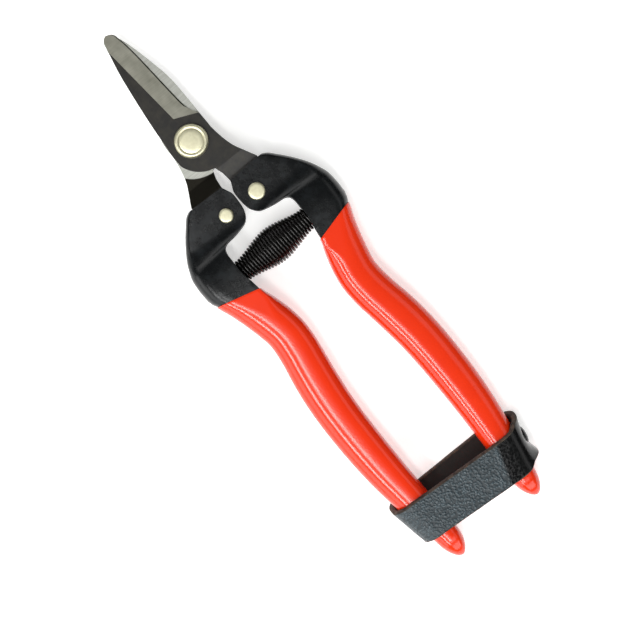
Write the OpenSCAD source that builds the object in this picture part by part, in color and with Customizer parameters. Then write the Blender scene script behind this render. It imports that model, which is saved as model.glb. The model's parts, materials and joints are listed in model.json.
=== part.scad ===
// Floral snips: two identical blades riveted into pressed steel handles, a pivot bolt,
// a barrel spring between the handles, vinyl sleeves and a leather loop that holds them shut.
// Both halves are the same sub-assembly, one of them turned over about the long axis.
// Millimetres. The snips lie flat: +Y runs from the tails to the tips, +Z is up, and the
// origin is under the middle of the snips, on the surface that they lie on.

/* [Blades] */
// Length from the pivot's axis to the tips
blade_len = 40.6; // [32:0.1:52]
// Width of a blade across the pivot
blade_w = 14.6; // [13.5:0.1:17.5]
// Thickness of a blade
blade_t = 2.2; // [1.8:0.1:2.7]
// Thickness left at the cutting edge
edge_t = 0.5; // [0.3:0.1:1.2]
// Running gap between the blades
blade_gap = 0.06; // [0.04:0.01:0.1]

/* [Pivot] */
// Diameter of the pivot bolt's shank
pivot_d = 5; // [4:0.1:6]
// Diameter of the pivot bolt's round head
pivot_head_d = 10.4; // [8.6:0.1:12.5]
// Height of the pivot bolt's head
pivot_head_h = 1.9; // [1.4:0.1:2.6]
// Radial clearance of the blades on the bolt
pivot_clearance = 0.04; // [0.02:0.01:0.08]
// Thickness of the washer under the nut
washer_t = 0.8; // [0.5:0.1:1.2]
// Width of the nut across its flats
nut_af = 8; // [7.6:0.1:10]
// Height of the nut
nut_h = 4; // [3:0.1:5]

/* [Handles] */
// Length from the pivot's axis to the tails
handle_len = 147.5; // [122:0.5:180]
// Half the width across the elbows
elbow_x = 26.5; // [25:0.1:32]
// Thickness of a handle at its elbow
elbow_t = 11.2; // [10.8:0.1:13.6]
// Width of a handle at its elbow
elbow_w = 13.7; // [12:0.1:14.5]
// Thickness of the pressed steel
sheet_t = 1.4; // [1.1:0.1:1.7]
// Gap between the two heads when the snips are shut
stop_gap = 0.1; // [0.06:0.02:0.3]
// Diameter of the rivets that hold the blades
rivet_d = 3.4; // [2.6:0.1:4.1]
// Diameter of a rivet's made head
rivet_head_d = 5.3; // [4.6:0.1:6.4]
// Diameter of a rivet's peened head
rivet_tail_d = 4.5; // [4.3:0.1:5.4]

/* [Grips] */
// Thickness of a grip
grip_t = 11.8; // [10.6:0.1:14.2]
// Width of a grip at its belly
grip_w = 13.2; // [11:0.1:15]
// Distance of a grip's middle from the snips' middle at the waist
waist_x = 13.9; // [12.5:0.1:16]
// The same distance at the belly
belly_x = 17.2; // [15:0.1:20]
// The same distance at the tail
tail_x = 14.4; // [12.5:0.1:17]
// Wall of the vinyl sleeve
sleeve_t = 0.7; // [0.5:0.05:0.9]

/* [Spring] */
// Diameter of the spring's wire
wire_d = 0.9; // [0.7:0.05:1]
// Outer diameter of the spring at its ends
spring_end_d = 7.2; // [6:0.1:7.4]
// Outer diameter of the spring at its middle
spring_mid_d = 11.8; // [9:0.1:14.2]
// Pitch of the coils with the snips shut
spring_pitch = 1.05; // [1.02:0.01:1.4]
// Distance of the spring's axis below the pivot
spring_y = 39.7; // [38.7:0.1:41]

/* [Strap] */
// Width of the leather strap
strap_w = 12.8; // [9:0.1:16]
// Thickness of the leather
strap_t = 1.8; // [1.2:0.1:2.4]
// Room between the leather and the sleeves
strap_room = 0.2; // [0.1:0.05:0.6]
// Distance of the strap's middle above the tails
strap_up = 16.9; // [13.5:0.1:24]
// How far the strap's front lies nearer to the tails than its back
strap_skew = 4.3; // [0:0.1:8]
// Diameter of the rivet that pins the strap to one handle
strap_rivet_d = 2.4; // [2:0.1:3]
// Diameter of that rivet's head
strap_rivet_head_d = 5.6; // [4.6:0.1:6.8]

/* [Hidden] */
$fn = 64;

blade_colour = "#33302c";
plated_colour = "#c9c6b4";
coat_colour = "#15191c";
vinyl_colour = "#f03a17";
spring_colour = "#0d0d0d";
leather_colour = "#2b3236";

fit = 0.02;                      // gap between pieces that are fixed together
far = 200;                       // longer than any cut

// Blade and tang
half_w = blade_w / 2;
joggle_top = 11.3;               // where the blade starts to bend down to its tang
joggle_end = 15.8;
tang_in = 1.6;                   // the tang's side next to the other tang
tang_out = 12.6;
tang_end = 28;
rivet_at = [5.85, -23.9];
face_z = blade_gap / 2 + blade_t;

// Handle, from its head's top edge to the sleeve and on to the tail
head_y = -16.2;
head_x = tang_out + sheet_t + 0.3;
head_gap = blade_t / 2 + fit;    // half the gap between the pinched flanges
half_head = head_gap + sheet_t;
half_elbow = elbow_t / 2;
mouth_x = elbow_x - elbow_w;     // the open side of the channel at the elbow
sleeve_y = -45.5;
grip_len = handle_len + sleeve_y;
frame_end = 0.92;                // share of the grip at which the channel ends
tail_start = 0.925;              // share of the grip at which the tail starts to close
sleeve_lip = 0.3;                // wall at the sleeve's open edge
half_mouth = grip_t / 2 - sleeve_lip - fit;
sleeve_ramp = 0.1;               // share of the grip over which the wall grows

// Spring and its studs
stud_cone = 0.35;                // the stud's foot stands off the web's curved inside
stud_face = 1.75;                // the spring's end stands off the web by this much
stud_foot_r = 1.5;
stud_shank_r = 1.1;
stud_nose_r = spring_end_d / 2 - wire_d - 0.3;
stud_nose_h = 4;
web_x = edge_point(spring_y)[0] - sheet_t;
spring_half = web_x - stud_face - fit;
bulge_half = 13;                 // half the length of the spring's fatter middle
turns = floor((2 * spring_half - wire_d) / spring_pitch);

// Strap
strap_corner = 4.8;              // how far its rounded ends reach, without its thickness
strap_y = -handle_len + strap_up;
strap_slope = strap_skew / (grip_t + 2 * strap_room + strap_t);
strap_end_at = grip_edge(strap_y, strap_room);
strap_rivet_turn = -atan((grip_edge(strap_y + 2, 0) - grip_edge(strap_y - 2, 0)) / 4);

// Heights: the underside rests on the strap and on the end of the pivot bolt
washer_top = face_z + fit;
nut_top = washer_top + washer_t + fit;
bolt_least_proud = 0.4;
rest_z = max(grip_t / 2 + strap_room + strap_t, nut_top + nut_h + bolt_least_proud);
place_at = [0, (handle_len - blade_len) / 2, rest_z];

// ---- Plain functions ----

function mix(a, b, v) = a + (b - a) * v;
function clamp(v) = min(1, max(0, v));
function smooth(v) = let (c = clamp(v)) c * c * (3 - 2 * c);
// Catmull-Rom curve between b and c, at t from 0 to 1
function curve_at(a, b, c, d, t) =
    0.5 * (2 * b + (c - a) * t + (2 * a - 5 * b + 4 * c - d) * t * t
        + (3 * b - a - 3 * c + d) * t * t * t);
// The point of such a curve through pts at k, counted in points
function curve_point(pts, k) =
    let (e = len(pts) - 1, i = min(e - 1, max(0, floor(k))))
    curve_at(pts[max(0, i - 1)], pts[i], pts[i + 1], pts[min(e, i + 2)], k - i);
function curve(pts, n) = [for (i = [0:(len(pts) - 1) * n]) curve_point(pts, i / n)];

// ---- Solids from rings of points ----

// Joins rings of equally many points into one closed solid. A looped one has no end faces,
// and the end faces of a folded one, whose ring runs out and back, are strips of quads
module loft(rings, looped = false, folded = false) {
    n = len(rings[0]);
    m = len(rings);
    sides = [for (i = [0:m - (looped ? 1 : 2)]) for (j = [0:n - 1])
        [i * n + j, i * n + (j + 1) % n, (i + 1) % m * n + (j + 1) % n, (i + 1) % m * n + j]];
    first = folded ? [for (j = [0:n / 2 - 2]) [j, n - 1 - j, n - 2 - j, j + 1]]
        : [[for (j = [n - 1:-1:0]) j]];
    last = [for (face = first) [for (k = [len(face) - 1:-1:0]) face[k] + (m - 1) * n]];
    points = [for (ring = rings) for (p = ring) p];
    polyhedron(points = points, faces = concat(sides, looped ? [] : concat(first, last)),
        convexity = 8);
}

// ---- Blades ----

// Both sides of a blade above the pivot, in shares of half its width and of its length: the
// edge side has a notch at the heel, and the back of the lower blade is the fuller one
EDGE = [[1, 0], [1, 0.07], [0.965, 0.135], [0.9, 0.16], [0.815, 0.185], [0.74, 0.22],
    [0.67, 0.29], [0.59, 0.48], [0.495, 0.72], [0.4, 0.87], [0.32, 0.94]];
NARROW_BACK = [[1, 0], [0.955, 0.09], [0.87, 0.28], [0.75, 0.475], [0.59, 0.69], [0.43, 0.835],
    [0.28, 0.94]];
FULL_BACK = [[1, 0], [1, 0.09], [1, 0.28], [0.955, 0.475], [0.76, 0.66], [0.5, 0.85],
    [0.32, 0.94]];
function side_line(rows, sign) =
    [for (q = curve(rows, 3)) [sign * half_w * q[0], blade_len * q[1]]];

function blade_outline(back) =
    let (heel_r = 9.75,
         heel_c = [heel_r - half_w - 0.3, -1],
         tip = [half_w * EDGE[len(EDGE) - 1][0], half_w * back[len(back) - 1][0]],
         tip_y = 0.94 * blade_len)
    concat(
        side_line(EDGE, 1),
        [for (a = [15:15:165])
            [(cos(a) > 0 ? tip[0] : tip[1]) * cos(a), mix(tip_y, blade_len, sin(a))]],
        reversed(side_line(back, -1)),
        [for (a = [196:8:260]) heel_c + heel_r * [cos(a), sin(a)]],
        [[0.75, -11.6], [1.3, -13.2], [tang_in, -joggle_end], [tang_in, -tang_end + 1.8],
         [tang_in + 1.8, -tang_end], [tang_out - 3, -tang_end], [tang_out, -tang_end + 4],
         [tang_out, -joggle_end]],
        curve([[tang_out - 0.1, -15.3], [10.95, -12.4], [9.2, -9], [8.25, -6],
               [half_w + 0.3, -2.6], [half_w, 0]], 3));

// Side view of a blade, [y, z]: the blade's plane, the bend and the tang's plane
function blade_side() = [
    [-far, -blade_t / 2], [-joggle_end, -blade_t / 2], [-joggle_top, blade_gap / 2],
    [far, blade_gap / 2], [far, face_z], [-joggle_top, face_z],
    [-joggle_end, blade_t / 2], [-far, blade_t / 2]];

// What a flat grind takes away: it starts on the line from a to b, at height z, and falls
// by fall degrees to the right of that line
module grind(a, b, z, fall) {
    turn = atan2(b[1] - a[1], b[0] - a[0]) - 90;
    translate([a[0], a[1], z])
        rotate([0, 0, turn])
        rotate([0, fall, 0])
        translate([-far / 4, -far / 4, 0]) cube([far / 2, far / 2, far / 4]);
}

module blade(back) {
    heel = [0, 8.5];                             // where the bevel's back line starts
    top = [-0.34 * half_w, 0.86 * blade_len];    // and where it points to
    bevel_w = 0.733 * half_w;
    difference() {
        intersection() {
            translate([0, 0, -far / 2]) linear_extrude(far) polygon(blade_outline(back));
            rotate([90, 0, 90]) translate([0, 0, -far / 2]) linear_extrude(far)
                polygon(blade_side());
        }
        intersection() {
            grind(heel, top, face_z, atan((blade_t - edge_t) / bevel_w));
            linear_extrude(far) polygon([[-far, heel[1]], heel, heel + [far, -0.44 * far],
                [far, far], [-far, far]]);
        }
        cylinder(h = far, d = pivot_d + 2 * pivot_clearance, center = true);
        translate(rivet_at) cylinder(h = far, d = rivet_d + 2 * fit, center = true);
    }
}

// ---- Pivot ----

// A round head with a flat top and a rounded rim, standing on z = 0
module domed_head(d, h, flat) {
    rim = (d - flat) / 2;
    low = 0.25 * h;
    rotate_extrude() polygon(concat([[0, 0], [d / 2, 0]],
        [for (a = [0:15:90]) [d / 2 - rim + rim * cos(a), low + (h - low) * sin(a)]],
        [[0, h]]));
}

module bolt() {
    chamfer = 0.35;
    translate([0, 0, face_z + fit]) domed_head(pivot_head_d, pivot_head_h, 0.72 * pivot_head_d);
    translate([0, 0, chamfer - rest_z])
        cylinder(h = rest_z - chamfer + face_z + fit, d = pivot_d);
    translate([0, 0, -rest_z]) cylinder(h = chamfer, d1 = pivot_d - 2 * chamfer, d2 = pivot_d);
}

module washer() {
    translate([0, 0, -washer_top - washer_t]) difference() {
        cylinder(h = washer_t, d = nut_af + 1.6);
        cylinder(h = far, d = pivot_d + 2 * fit, center = true);
    }
}

module nut() {
    corner_d = nut_af / cos(30);
    bevel = (corner_d - nut_af) / 2;
    translate([0, 0, -nut_top - nut_h]) difference() {
        intersection() {
            cylinder(h = nut_h, d = corner_d, $fn = 6);
            union() {
                cylinder(h = bevel, d1 = nut_af, d2 = corner_d);
                translate([0, 0, bevel]) cylinder(h = nut_h, d = corner_d);
            }
        }
        cylinder(h = far, d = pivot_d + 2 * fit, center = true);
    }
}

// ---- Handles ----

// Plan of a handle above the sleeve: points on its outer edge and across from them on its
// inner edge, with the half thickness, the length of the web's rounded corner and the
// power of that corner's curve
function head_rows() = let (at = function (f, y) [mix(head_x, elbow_x, f), y]) [
    [at(0, head_y + 0.2), [stop_gap / 2 + 1.5, head_y - 0.2], half_head, 1.65, 2],
    [at(0.13, -17.0), [stop_gap / 2 + 0.7, -18.2], half_head, 1.65, 2],
    [at(0.27, -18.9), [stop_gap / 2, -20], half_head, 1.65, 2],
    [at(0.46, -21.6), [stop_gap / 2, -23], half_head, 1.65, 2],
    [at(0.62, -24.2), [stop_gap / 2 + 0.3, -25.5], half_head, 1.8, 2],
    [at(0.73, -26.2), [stop_gap / 2 + 1.2, -27.6], mix(half_head, half_elbow, 0.02), 2.3, 2],
    [at(0.82, -28.1), [stop_gap / 2 + 3, -29.2], mix(half_head, half_elbow, 0.12), 2.9, 2.1],
    [at(0.9, -30.3), [mouth_x - 5.6, -30.2], mix(half_head, half_elbow, 0.32), 3.6, 2.2],
    [at(0.95, -31.9), [mouth_x - 1.6, -30.7], mix(half_head, half_elbow, 0.5), 4.2, 2.3],
    [at(0.98, -33.6), [mouth_x - 0.2, -32.4], mix(half_head, half_elbow, 0.67), 4.7, 2.4],
    [at(1, -36.8), [mouth_x, -36], mix(half_head, half_elbow, 0.86), 5, 2.4],
    [at(0.99, -40), [mouth_x - 0.1, -40.4], mix(half_head, half_elbow, 0.97), 5, 2.4],
    [at(0.96, -42), [mouth_x - 0.7, -44], mix(half_elbow, half_mouth, 0.5), 5.1, 2.5]];

// Middle and width of a handle along its grip, in shares of the grip's length
function grip_rows() = let (start = elbow_x - elbow_w / 2 - 1.3, full = grip_w) [
    [0, start, full + 0.9], [0.04, mix(start, waist_x, 0.32), full + 0.5],
    [0.08, mix(start, waist_x, 0.6), full], [0.125, mix(start, waist_x, 0.85), full - 0.4],
    [0.17, waist_x, full - 0.6], [0.23, mix(waist_x, belly_x, 0.12), full - 0.3],
    [0.3, mix(waist_x, belly_x, 0.47), full], [0.36, mix(waist_x, belly_x, 0.73), full],
    [0.42, mix(waist_x, belly_x, 0.91), full - 0.2], [0.49, belly_x, full - 0.45],
    [0.58, belly_x, full - 0.8], [0.68, mix(tail_x, belly_x, 0.87), full - 1.5],
    [0.78, mix(tail_x, belly_x, 0.59), full - 2.7], [0.86, mix(tail_x, belly_x, 0.29), full - 4],
    [tail_start, mix(tail_x, belly_x, 0.05), full - 5.2], [1, tail_x, full - 5.6]];

// The row of grip_rows at share s, by a smooth step from one row to the next
function grip_at(s) = let (rows = grip_rows(), last = len(rows) - 2,
    i = max([for (k = [0:last]) if (rows[k][0] <= s + 0.00001) k]),
    v = (s - rows[i][0]) / (rows[i + 1][0] - rows[i][0]))
    curve_at(rows[max(0, i - 1)], rows[i], rows[i + 1], rows[min(last + 1, i + 2)], v);
// How far the tail has closed at share s: 1 is open and 0 is the tip
function tail_width(s) = let (v = clamp((s - tail_start) / (1 - tail_start)))
    pow(max(0, 1 - v * v), 0.6);
function tail_depth(s) = let (v = clamp((s - tail_start) / (1 - tail_start)))
    sqrt(max(0, 1 - v * v));
// Outer edge of the sleeved grip at height y, with room to spare
function grip_edge(y, room) = let (s = (sleeve_y - y) / grip_len, row = grip_at(s))
    row[1] + row[2] / 2 * tail_width(s) + room;
// Outer edge of the elbow at distance d below the pivot: the nearest point of its curve
function edge_point(d) = let (edge = curve([for (row = head_rows()) row[0]], 8))
    edge[min([for (i = [0:len(edge) - 1]) if (-edge[i][1] >= d) i])];
function sleeve_wall(s) = mix(sleeve_lip, sleeve_t, smooth(s / sleeve_ramp));

// One station of a handle's outline: outer point, inner point, half thickness, length of the
// corner at the web, length of the corner at the lips and power of both corners
function head_station(row) = [row[0], row[1], row[2], row[3], 0.3, row[4]];
// The same along the grip: the sleeve's outside moved in by inset
function grip_station(s, inset) =
    let (row = grip_at(s), full = smooth(s / 0.12), wide = row[2] / 2 * tail_width(s),
         half = wide - inset,
         y = sleeve_y - s * grip_len,
         lean = 1.8 * (1 - smooth(s / 0.14)))
    [[row[1] + half, y + lean], [row[1] - half, y - lean], grip_t / 2 * tail_depth(s) - inset,
     mix(5.5, wide, full) - inset, mix(0.7, wide, full) - inset, mix(2.5, 3, full)];
function frame_station(s) = grip_station(s, sleeve_wall(s) + fit);

function stations() = concat(
    [for (row = curve(head_rows(), 2)) head_station(row)],
    [for (s = [0, 0.04, 0.08, 0.12, 0.17, 0.23, 0.3, 0.37, 0.44, 0.51, 0.58, 0.65, 0.72,
               0.79, 0.85, frame_end]) frame_station(s)]);

// Point of a corner's curve at angle a, as shares of its length and height
function corner(a, p) = [pow(cos(a), 2 / p), pow(sin(a), 2 / p)];
// Upper half of a station's outline, moved in by inset: from the web's middle to the lips'
// angle, as [distance from the outer point towards the inner one, height]
function half_outline(st, inset, lips) =
    let (w = norm(st[1] - st[0]), h = st[2] - inset, ro = st[3] - inset, p = st[5])
    concat(
        [for (a = [0, 14, 30, 50, 70, 90]) let (c = corner(a, p))
            [inset + ro * (1 - c[0]), h * c[1]]],
        [for (a = lips) let (c = corner(a, p)) [w - st[4] + st[4] * c[0], h * c[1]]]);
// Puts a point of the outline in its place on the handle
function lay(st, q) = let (at = st[0] + (st[1] - st[0]) / norm(st[1] - st[0]) * q[0])
    [at[0], at[1], q[1]];
function flipped(pts) = [for (q = pts) [q[0], -q[1]]];
function reversed(pts) = [for (i = [len(pts) - 1:-1:0]) pts[i]];
function without_first(pts) = [for (i = [1:len(pts) - 1]) pts[i]];

// Closed outline of the sleeve at a station
function tube_ring(st) = let (half = half_outline(st, 0, [88, 70, 50, 30, 14]))
    [for (q = concat(half, [[norm(st[1] - st[0]), 0]],
        reversed(without_first(flipped(half))))) lay(st, q)];
// Closed outline of the channel: round the outside and back along the inside
function channel_ring(st) =
    let (out = half_outline(st, 0, [88, 70]), in = half_outline(st, sheet_t, [88, 70]))
    [for (q = concat(reversed(flipped(out)), without_first(out),
        reversed(in), without_first(flipped(in)))) lay(st, q)];

// Puts its children at the middle of the strap's riveted end, with Z pointing outwards
module strap_rivet_place() {
    translate([strap_end_at, strap_y, 0]) rotate([0, 0, strap_rivet_turn]) rotate([0, 90, 0])
        children();
}
module strap_hole() {
    strap_rivet_place() translate([0, 0, -grip_w / 2])
        cylinder(h = grip_w, d = strap_rivet_d + 2 * fit);
}

module handle_frame(strapped) {
    difference() {
        loft([for (st = stations()) channel_ring(st)], folded = true);
        translate(rivet_at) cylinder(h = far, d = rivet_d + 2 * fit, center = true);
        translate([web_x, -spring_y, 0]) rotate([0, 90, 0])
            cylinder(h = 4 * sheet_t, r = stud_shank_r + fit, center = true);
        if (strapped) strap_hole();
    }
}

module blade_rivet() {
    head_h = 0.9;
    translate([rivet_at[0], rivet_at[1], 0]) {
        translate([0, 0, half_head + fit]) domed_head(rivet_head_d, head_h, 0.7 * rivet_head_d);
        mirror([0, 0, 1]) translate([0, 0, half_head + fit])
            domed_head(rivet_tail_d, head_h, 0.7 * rivet_tail_d);
        cylinder(h = 2 * (half_head + fit), d = rivet_d, center = true);
    }
}

// ---- Grips ----

module grip_sleeve(strapped) {
    open_s = [0, 0.04, 0.08, 0.12, 0.17, 0.23, 0.3, 0.37, 0.44, 0.51, 0.58, 0.65, 0.72, 0.79,
        0.85];
    tail_s = [for (v = [0, 0.25, 0.45, 0.65, 0.8, 0.9, 0.96, 0.995]) mix(tail_start, 1, v)];
    closed_s = [for (v = [0, 0.25]) mix(tail_start, 1, v)];
    difference() {
        loft(concat(
            [for (s = reversed(concat(open_s, tail_s))) tube_ring(grip_station(s, 0))],
            [for (s = concat(open_s, closed_s)) tube_ring(grip_station(s, sleeve_wall(s)))]));
        if (strapped) strap_hole();
    }
}

// ---- Spring ----

module spring_stud() {
    at_x = web_x - stud_face;
    face_r = spring_end_d / 2 - 0.2;
    face_h = 0.35;
    translate([0, -spring_y, 0]) rotate([0, 90, 0]) {
        translate([0, 0, at_x]) cylinder(h = face_h, r = face_r);
        translate([0, 0, at_x + face_h])
            cylinder(h = stud_face - stud_cone - face_h, r1 = face_r, r2 = stud_foot_r);
        translate([0, 0, web_x - stud_cone]) cylinder(h = stud_cone + sheet_t, r = stud_shank_r);
        translate([0, 0, at_x - stud_nose_h]) {
            cylinder(h = 0.6, r1 = stud_nose_r - 0.5, r2 = stud_nose_r);
            translate([0, 0, 0.6]) cylinder(h = stud_nose_h - 0.6, r = stud_nose_r);
        }
    }
}

// Radius of the spring's centre line at x
function coil_r(x) = mix(spring_end_d, spring_mid_d, smooth(1 - abs(x) / bulge_half)) / 2
    - wire_d / 2;
function coil_at(a) = let (x = (a / 360 / turns - 0.5) * (2 * spring_half - wire_d))
    [x, coil_r(x) * cos(a), coil_r(x) * sin(a)];
// Ring of the wire at angle a, square to the wire's radius
function wire_ring(a) = let (c = coil_at(a), out = [0, cos(a), sin(a)]) [
    for (k = [0:5]) c + wire_d / 2 * (cos(60 * k) * out + sin(60 * k) * [1, 0, 0])];

// ---- Strap ----

// Ring of the strap at angle a round its loop: both edges, inside and outside
function strap_point(a, edge, grow) =
    let (p = 3, c = abs(cos(a)), s = abs(sin(a)),
         z = sign(sin(a)) * (grip_t / 2 + strap_room + grow) * pow(s, 2 / p),
         y = strap_y + edge * strap_w / 2 - strap_slope * z,
         r = strap_corner + strap_room + grow)
    [sign(cos(a)) * (grip_edge(y, strap_room + grow) - r + r * pow(c, 2 / p)), y, z];
function strap_ring(a) = [strap_point(a, 1, 0), strap_point(a, 1, strap_t),
    strap_point(a, -1, strap_t), strap_point(a, -1, 0)];

module strap_loop() {
    quarter = [0, 8, 18, 30, 45, 60, 74, 84];
    angles = [for (q = [0, 180]) for (a = concat(quarter, [89.9, 90.1],
        [for (i = [7:-1:1]) 180 - quarter[i]])) q + a];
    difference() {
        loft([for (a = angles) strap_ring(a)], looped = true);
        strap_hole();
    }
}

module strap_pin() {
    head_h = 1.1;
    tail_room = 0.1;                             // the web's inside is slightly hollow
    grip = strap_t + strap_room + sleeve_t + fit + sheet_t + tail_room;
    tail_h = 0.7;
    strap_rivet_place() {
        translate([0, 0, strap_t + fit]) domed_head(strap_rivet_head_d, head_h,
            0.45 * strap_rivet_head_d);
        translate([0, 0, strap_t - grip]) cylinder(h = grip + fit, d = strap_rivet_d);
        translate([0, 0, strap_t - grip - tail_h]) cylinder(h = tail_h, d = 1.5 * strap_rivet_d);
    }
}

// ---- Places ----

module turned_over() {
    rotate([0, 180, 0]) children();
}
module placed() {
    translate(place_at) children();
}

module upper_blade() { color(blade_colour) placed() blade(NARROW_BACK); }
module lower_blade() { color(blade_colour) placed() turned_over() blade(FULL_BACK); }
module pivot_bolt() { color(plated_colour) placed() bolt(); }
module pivot_washer() { color(plated_colour) placed() washer(); }
module pivot_nut() { color(plated_colour) placed() nut(); }
module right_handle_frame() { color(coat_colour) placed() handle_frame(true); }
module left_handle_frame() { color(coat_colour) placed() turned_over() handle_frame(false); }
module right_blade_rivet() { color(plated_colour) placed() blade_rivet(); }
module left_blade_rivet() { color(plated_colour) placed() turned_over() blade_rivet(); }
module right_grip_sleeve() { color(vinyl_colour) placed() grip_sleeve(true); }
module left_grip_sleeve() { color(vinyl_colour) placed() turned_over() grip_sleeve(false); }
module right_spring_stud() { color(plated_colour) placed() spring_stud(); }
module left_spring_stud() { color(plated_colour) placed() turned_over() spring_stud(); }
module spring() {
    step = 30;
    color(spring_colour) placed() translate([0, -spring_y, 0])
        loft([for (a = [0:step:360 * turns]) wire_ring(a)]);
}
module lock_strap() { color(leather_colour) placed() strap_loop(); }
module strap_rivet() { color(coat_colour) placed() strap_pin(); }

upper_blade();
lower_blade();
pivot_bolt();
pivot_washer();
pivot_nut();
right_handle_frame();
left_handle_frame();
right_blade_rivet();
left_blade_rivet();
right_grip_sleeve();
left_grip_sleeve();
right_spring_stud();
left_spring_stud();
spring();
lock_strap();
strap_rivet();
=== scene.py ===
"""Floral snips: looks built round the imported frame.

Shapes are worked out in millimetres in the snips' own axes: the origin on the pivot's axis
between the blades, +Y to the tips, +Z up. One half is the other turned over about Y, but
for the backs of the blades.
"""
import json
import logging
import math
from dataclasses import dataclass, field
from enum import Enum
from typing import Sequence

import bmesh
import bpy
import numpy as np
from mathutils import Matrix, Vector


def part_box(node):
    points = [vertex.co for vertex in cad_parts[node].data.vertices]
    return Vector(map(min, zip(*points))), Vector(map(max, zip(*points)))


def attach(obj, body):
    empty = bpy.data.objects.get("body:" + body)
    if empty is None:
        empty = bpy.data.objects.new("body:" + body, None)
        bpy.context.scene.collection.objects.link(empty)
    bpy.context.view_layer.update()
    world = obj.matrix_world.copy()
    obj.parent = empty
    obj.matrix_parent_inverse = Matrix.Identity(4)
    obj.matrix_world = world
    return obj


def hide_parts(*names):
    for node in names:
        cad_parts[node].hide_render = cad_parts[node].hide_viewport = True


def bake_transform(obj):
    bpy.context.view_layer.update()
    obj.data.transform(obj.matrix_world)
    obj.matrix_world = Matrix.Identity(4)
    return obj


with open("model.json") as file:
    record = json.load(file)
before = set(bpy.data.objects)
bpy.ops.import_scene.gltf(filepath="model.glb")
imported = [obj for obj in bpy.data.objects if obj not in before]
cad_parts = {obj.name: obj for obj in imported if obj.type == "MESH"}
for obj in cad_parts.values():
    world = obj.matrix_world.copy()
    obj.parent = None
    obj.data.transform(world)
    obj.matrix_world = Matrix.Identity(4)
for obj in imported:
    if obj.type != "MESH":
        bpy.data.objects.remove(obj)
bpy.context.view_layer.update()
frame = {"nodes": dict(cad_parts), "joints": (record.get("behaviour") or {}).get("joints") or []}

LOG = logging.getLogger("snips")
MM = 0.001
WELD = 2e-6
SLIVER = 1e-6
PIVOT = np.array(next(j for j in frame["joints"] if j["name"] == "blade_pivot")["pos_m"])
Array = np.ndarray
Rows = tuple[tuple[float, ...], ...]


# ---------------------------------------------------------------- small helpers


def box_mm(node: str) -> tuple[Array, Array]:
    """Lowest and highest corners of a CAD node, in mm from the pivot."""
    low, high = (np.array(corner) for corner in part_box(node))
    return (low - PIVOT) / MM, (high - PIVOT) / MM


def linear(hexa: str, alpha: float = 1.0) -> tuple[float, float, float, float]:
    """Turns an sRGB hex colour into linear RGBA.

    Args:
        hexa: Colour such as "#ff8000".
        alpha: Opacity.

    Returns:
        Each channel c as c / 12.92 when dark, else ((c + 0.055) / 1.055) ** 2.4.
    """
    parts = [int(hexa[i:i + 2], 16) / 255 for i in (1, 3, 5)]
    return (*[c / 12.92 if c <= 0.04045 else ((c + 0.055) / 1.055) ** 2.4 for c in parts], alpha)


def smooth(v: Array | float) -> Array:
    """Smooth step: 3v^2 - 2v^3 with v held between 0 and 1."""
    c = np.clip(v, 0.0, 1.0)
    return c * c * (3 - 2 * c)


def mix(a: Array | float, b: Array | float, v: Array | float) -> Array:
    """Straight blend from a to b."""
    return a + (b - a) * v


def curve(rows: Array, k: Array) -> Array:
    """Catmull-Rom curve through rows.

    Args:
        rows: Points or rows of values, one per line.
        k: Where to read the curve, counted in rows.

    Returns:
        One row per k: the usual cubic of the four rows round it.
    """
    last = len(rows) - 1
    i = np.clip(np.floor(k).astype(int), 0, last - 1)
    t = (k - i)[:, None]
    a, b = rows[np.maximum(i - 1, 0)], rows[i]
    c, d = rows[i + 1], rows[np.minimum(i + 2, last)]
    return 0.5 * (2 * b + (c - a) * t + (2 * a - 5 * b + 4 * c - d) * t ** 2
                  + (3 * b - a - 3 * c + d) * t ** 3)


def corner(angle: Array, power: Array) -> tuple[Array, Array]:
    """Superellipse corner: cos and sin of the angle, each to the power 2 / power."""
    return (np.clip(np.cos(angle), 0, 1) ** (2 / power),
            np.clip(np.sin(angle), 0, 1) ** (2 / power))


class Side(Enum):
    """Which half of the snips a piece belongs to."""

    RIGHT = "right"
    LEFT = "left"

    @property
    def body(self) -> str:
        """The CAD body that this side's pieces ride on."""
        return f"{self.value}_half"

    def place(self, points: Array) -> Array:
        """Millimetres about the pivot to metres in the frame; the left side is turned over."""
        turn = np.array([-1.0, 1.0, -1.0]) if self is Side.LEFT else np.ones(3)
        return points * turn * MM + PIVOT


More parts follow.
